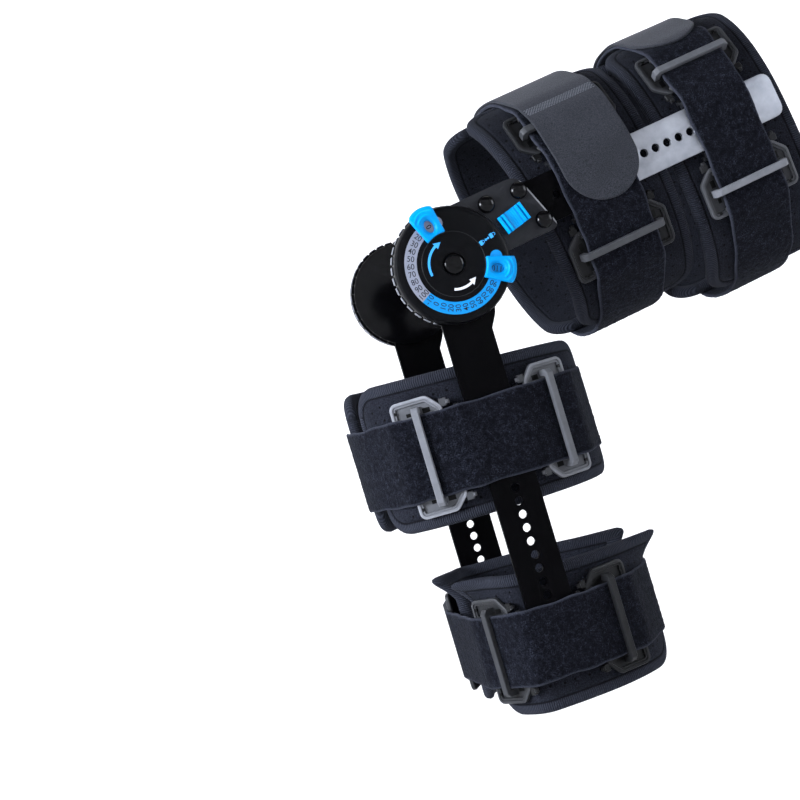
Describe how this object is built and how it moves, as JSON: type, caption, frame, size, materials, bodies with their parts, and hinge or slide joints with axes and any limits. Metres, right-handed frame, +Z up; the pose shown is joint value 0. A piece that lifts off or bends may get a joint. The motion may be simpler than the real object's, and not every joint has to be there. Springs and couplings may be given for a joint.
{
  "type": "hinged range-of-motion knee brace",
  "caption": "Hinged knee brace with round dial hinges, straight side bars and padded thigh and calf cuffs held by buckled straps.",
  "frame": {"origin": "on the knee axis, midway between the two hinges, where the middle of the knee sits", "axes": "+Y along the knee axis from the lateral hinge to the medial one, +Z up, -X towards the front of the knee"},
  "size_m": [0.3075, 0.1685, 0.4537],
  "materials": {
    "cover_plastic": "satin moulded black",
    "hinge_metal": "glossy black",
    "bar_black": "matt black anodised",
    "bar_bright": "fine brushed",
    "blue_plastic": "bright azure moulding",
    "buckle_plastic": "grey moulded nylon",
    "pad_fabric": "perforated foam with a bound edge",
    "strap_fabric": "loop pile webbing",
    "hook_fabric": "smooth fine weave"
  },
  "bodies": {
    "thigh_frame": {"lateral_hinge_cover": "cover_plastic", "lateral_hinge_back_plate": "hinge_metal", "lateral_pivot": "hinge_metal", "lateral_upper_bar": "bar_black", "lateral_extension_bar": "bar_bright", "medial_hinge_cover": "cover_plastic", "medial_hinge_back_plate": "hinge_metal", "medial_pivot": "hinge_metal", "medial_upper_bar": "bar_black", "medial_extension_bar": "bar_bright", "thigh_lower_lateral_pad": "pad_fabric", "thigh_lower_lateral_carrier": "buckle_plastic", "thigh_lower_lateral_front_buckle": "buckle_plastic", "thigh_lower_lateral_rear_buckle": "buckle_plastic", "thigh_lower_medial_pad": "pad_fabric", "thigh_lower_medial_carrier": "buckle_plastic", "thigh_lower_medial_front_buckle": "buckle_plastic", "thigh_lower_medial_rear_buckle": "buckle_plastic", "thigh_lower_strap": "strap_fabric", "thigh_lower_hook_tab": "hook_fabric", "thigh_upper_lateral_pad": "pad_fabric", "thigh_upper_lateral_carrier": "buckle_plastic", "thigh_upper_lateral_front_buckle": "buckle_plastic", "thigh_upper_lateral_rear_buckle": "buckle_plastic", "thigh_upper_medial_pad": "pad_fabric", "thigh_upper_medial_carrier": "buckle_plastic", "thigh_upper_medial_front_buckle": "buckle_plastic", "thigh_upper_medial_rear_buckle": "buckle_plastic", "thigh_upper_strap": "strap_fabric", "thigh_upper_hook_tab": "hook_fabric"},
    "calf_frame": {"lateral_lower_bar": "bar_black", "medial_lower_bar": "bar_black", "calf_upper_lateral_pad": "pad_fabric", "calf_upper_lateral_carrier": "buckle_plastic", "calf_upper_lateral_front_buckle": "buckle_plastic", "calf_upper_lateral_rear_buckle": "buckle_plastic", "calf_upper_medial_pad": "pad_fabric", "calf_upper_medial_carrier": "buckle_plastic", "calf_upper_medial_front_buckle": "buckle_plastic", "calf_upper_medial_rear_buckle": "buckle_plastic", "calf_upper_strap": "strap_fabric", "calf_lower_lateral_pad": "pad_fabric", "calf_lower_lateral_carrier": "buckle_plastic", "calf_lower_lateral_front_buckle": "buckle_plastic", "calf_lower_lateral_rear_buckle": "buckle_plastic", "calf_lower_medial_pad": "pad_fabric", "calf_lower_medial_carrier": "buckle_plastic", "calf_lower_medial_front_buckle": "buckle_plastic", "calf_lower_medial_rear_buckle": "buckle_plastic", "calf_lower_strap": "strap_fabric"},
    "lock_slider": {"lateral_lock_slider": "blue_plastic"},
    "extension_stop": {"lateral_extension_stop": "blue_plastic"},
    "flexion_stop": {"lateral_flexion_stop": "blue_plastic"}
  },
  "joints": [
    {"name": "knee_flexion", "type": "hinge", "parent": "thigh_frame", "child": "calf_frame", "pos_m": [0, 0, 0], "axis": [0, -1, 0], "range_deg": [-81, 10]},
    {"name": "lock_slide", "type": "slide", "parent": "thigh_frame", "child": "lock_slider", "axis": [0.7901, 0, 0.613], "range_m": [0, 0.0035]},
    {"name": "extension_stop_turn", "type": "hinge", "parent": "thigh_frame", "child": "extension_stop", "pos_m": [0, 0, 0], "axis": [0, -1, 0], "range_deg": [-10, 80]},
    {"name": "flexion_stop_turn", "type": "hinge", "parent": "thigh_frame", "child": "flexion_stop", "pos_m": [0, 0, 0], "axis": [0, -1, 0], "range_deg": [-110, 10]}
  ]
}
